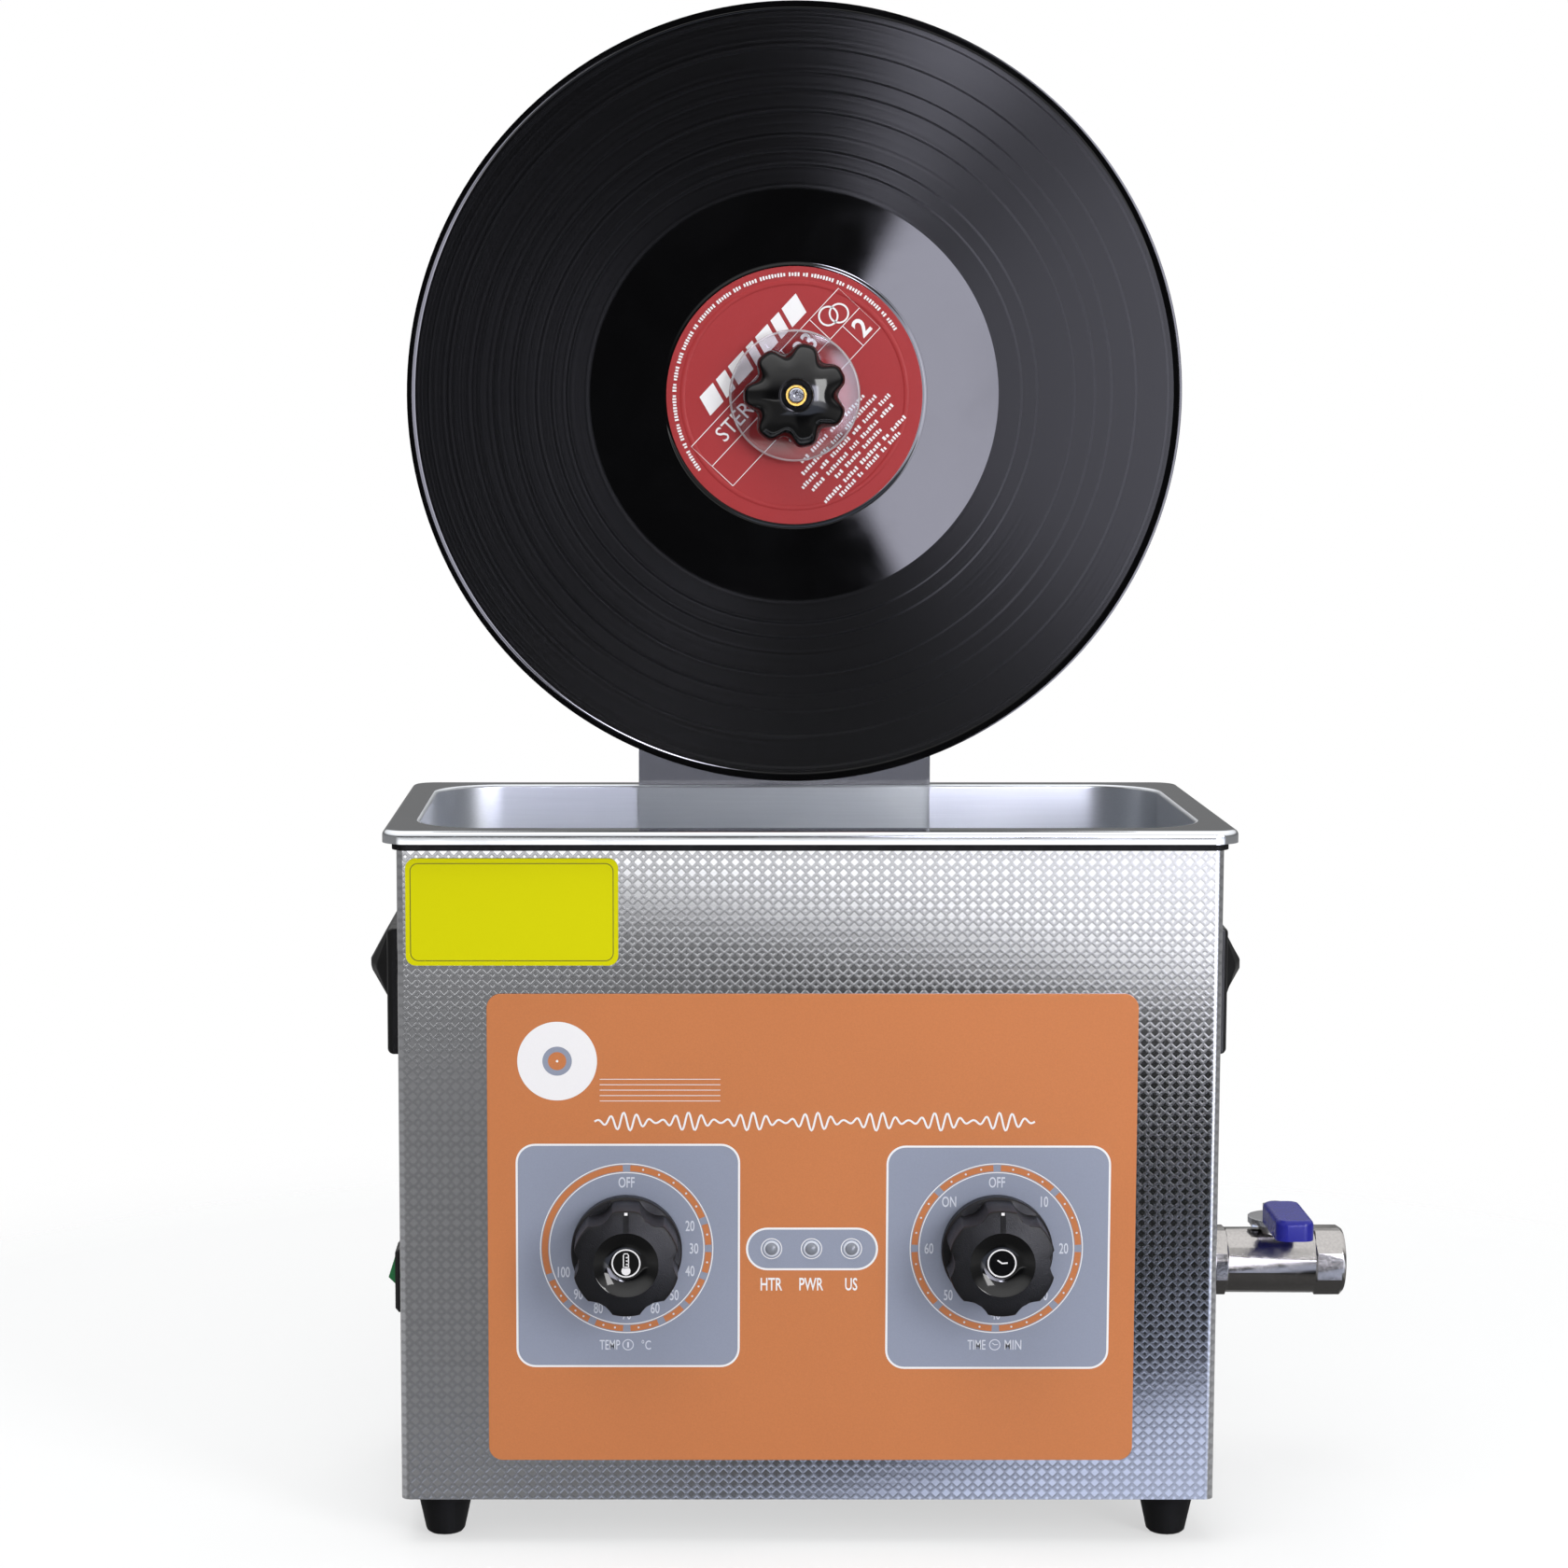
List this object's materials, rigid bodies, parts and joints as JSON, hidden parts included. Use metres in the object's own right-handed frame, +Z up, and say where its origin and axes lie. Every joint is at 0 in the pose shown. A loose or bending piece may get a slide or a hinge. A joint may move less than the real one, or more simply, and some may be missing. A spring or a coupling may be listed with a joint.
{
  "type": "record_cleaning_machine",
  "caption": "Ultrasonic record cleaner: patterned steel bath, orange dial panel, drain valve, and a motor spindle turning vinyl discs over the tank",
  "frame": {"origin": "On the ground under the middle of the whole machine's outline, handles, valve, knobs and motor included", "axes": "+X to the machine's right as seen from the front, +Y from the dial panel to the back, +Z up"},
  "size_m": [0.3912, 0.2642, 0.5928],
  "materials": {
    "patterned_steel": "stainless sheet embossed with a small lattice",
    "bright_steel": "polished or plated steel",
    "satin_steel": "drawn stainless sheet, satin",
    "plated_brass": "nickel-plated brass bar, turned and chamfered",
    "brass": "turned brass",
    "aluminium": "machined or extruded aluminium",
    "orange_paint": "semi-matte orange sheet with printed grey dial squares",
    "yellow_film": "plain yellow plate with a thin dark border",
    "black_rubber": "moulded rubber",
    "black_plastic": "moulded black plastic, finely textured",
    "gloss_black": "glossy black phenolic",
    "black_vinyl": "pressed vinyl with grooves",
    "blue_sleeve": "dipped blue vinyl",
    "green_lens": "tinted see-through rocker",
    "grey_lens": "unlit lens",
    "clear_acrylic": "clear cast acrylic with polished edges",
    "heater_film": "heater film",
    "green_board": "circuit board",
    "copper_winding": "varnished copper winding"
  },
  "bodies": {
    "bath": {"base_plate": "satin_steel", "case_shell": "patterned_steel", "cleaning_lamp": "grey_lens", "drain_pipe": "bright_steel", "fan_frame": "black_plastic", "foot_front_left": "black_rubber", "foot_front_right": "black_rubber", "foot_rear_left": "black_rubber", "foot_rear_right": "black_rubber", "front_panel": "orange_paint", "generator_board": "green_board", "handle_left": "black_plastic", "handle_right": "black_plastic", "heat_sink": "aluminium", "heater_lamp": "grey_lens", "heater_pad": "heater_film", "mains_inlet": "black_plastic", "notice_plate": "yellow_film", "power_lamp": "grey_lens", "power_switch_body": "black_plastic", "rim_gasket": "black_rubber", "stand_bridge": "clear_acrylic", "stand_inner_plate": "clear_acrylic", "stand_outer_plate": "clear_acrylic", "tank": "satin_steel", "thermostat_body": "black_plastic", "timer_body": "black_plastic", "transducer_1": "aluminium", "transducer_2": "aluminium", "transducer_3": "aluminium", "transformer": "copper_winding", "valve_body": "plated_brass"},
    "temperature_control": {"temperature_knob": "black_plastic", "thermostat_shaft": "bright_steel"},
    "timer_control": {"timer_knob": "black_plastic", "timer_shaft": "bright_steel"},
    "rocker": {"power_rocker": "green_lens"},
    "drain_lever": {"valve_lever": "bright_steel", "valve_lever_sleeve": "blue_sleeve", "valve_lever_nut": "bright_steel", "valve_stem": "bright_steel", "valve_ball": "bright_steel"},
    "lift": {"lift_carriage": "black_plastic", "motor_housing": "black_plastic", "gear_motor": "bright_steel", "power_socket": "black_plastic"},
    "clamp_knob": {"lift_clamp_knob": "black_plastic"},
    "spinner": {"spindle": "bright_steel", "spindle_coupling": "aluminium", "record_front": "black_vinyl", "record_rear": "black_vinyl", "record_spacer": "black_plastic", "rear_clamp_disc": "clear_acrylic", "front_clamp_disc": "clear_acrylic", "front_washer": "bright_steel"},
    "clamp_star": {"star_knob": "gloss_black", "star_knob_insert": "brass"},
    "screw_left": {"stand_screw_left": "black_plastic"},
    "screw_right": {"stand_screw_right": "black_plastic"},
    "fan": {"fan_rotor": "black_plastic"}
  },
  "joints": [
    {"name": "temperature_knob_turn", "type": "hinge", "parent": "bath", "child": "temperature_control", "pos_m": [-0.0947, -0.10415, 0.1173], "axis": [0, 1, 0], "range_deg": [0, 250]},
    {"name": "timer_knob_turn", "type": "hinge", "parent": "bath", "child": "timer_control", "pos_m": [0.0469, -0.10415, 0.1173], "axis": [0, 1, 0], "range_deg": [-45, 270]},
    {"name": "rocker_tilt", "type": "hinge", "parent": "bath", "child": "rocker", "pos_m": [-0.18195, -0.07415, 0.0992], "axis": [0, 1, 0], "range_deg": [0, 28]},
    {"name": "drain_lever_turn", "type": "hinge", "parent": "bath", "child": "drain_lever", "pos_m": [0.16885, -0.01915, 0.0922], "axis": [0, 0, 1], "range_deg": [0, 90]},
    {"name": "lift_slide", "type": "slide", "parent": "bath", "child": "lift", "axis": [0, 0, -1], "range_m": [0, 0.105]},
    {"name": "clamp_knob_turn", "type": "hinge", "parent": "lift", "child": "clamp_knob", "pos_m": [-0.0297, 0.07155, 0.492], "axis": [0, 1, 0], "continuous": true},
    {"name": "spindle_turn", "type": "hinge", "parent": "lift", "child": "spinner", "pos_m": [-0.0297, -0.04515, 0.442], "axis": [0, 1, 0], "continuous": true},
    {"name": "star_knob_turn", "type": "hinge", "parent": "spinner", "child": "clamp_star", "pos_m": [-0.0297, -0.05915, 0.442], "axis": [0, 1, 0], "continuous": true},
    {"name": "screw_left_turn", "type": "hinge", "parent": "bath", "child": "screw_left", "pos_m": [-0.0717, 0.06615, 0.2517], "axis": [0, 1, 0], "continuous": true},
    {"name": "screw_right_turn", "type": "hinge", "parent": "bath", "child": "screw_right", "pos_m": [0.0123, 0.06615, 0.2517], "axis": [0, 1, 0], "continuous": true},
    {"name": "fan_turn", "type": "hinge", "parent": "bath", "child": "fan", "pos_m": [-0.0949, 0.06455, 0.078], "axis": [0, 1, 0], "continuous": true}
  ]
}
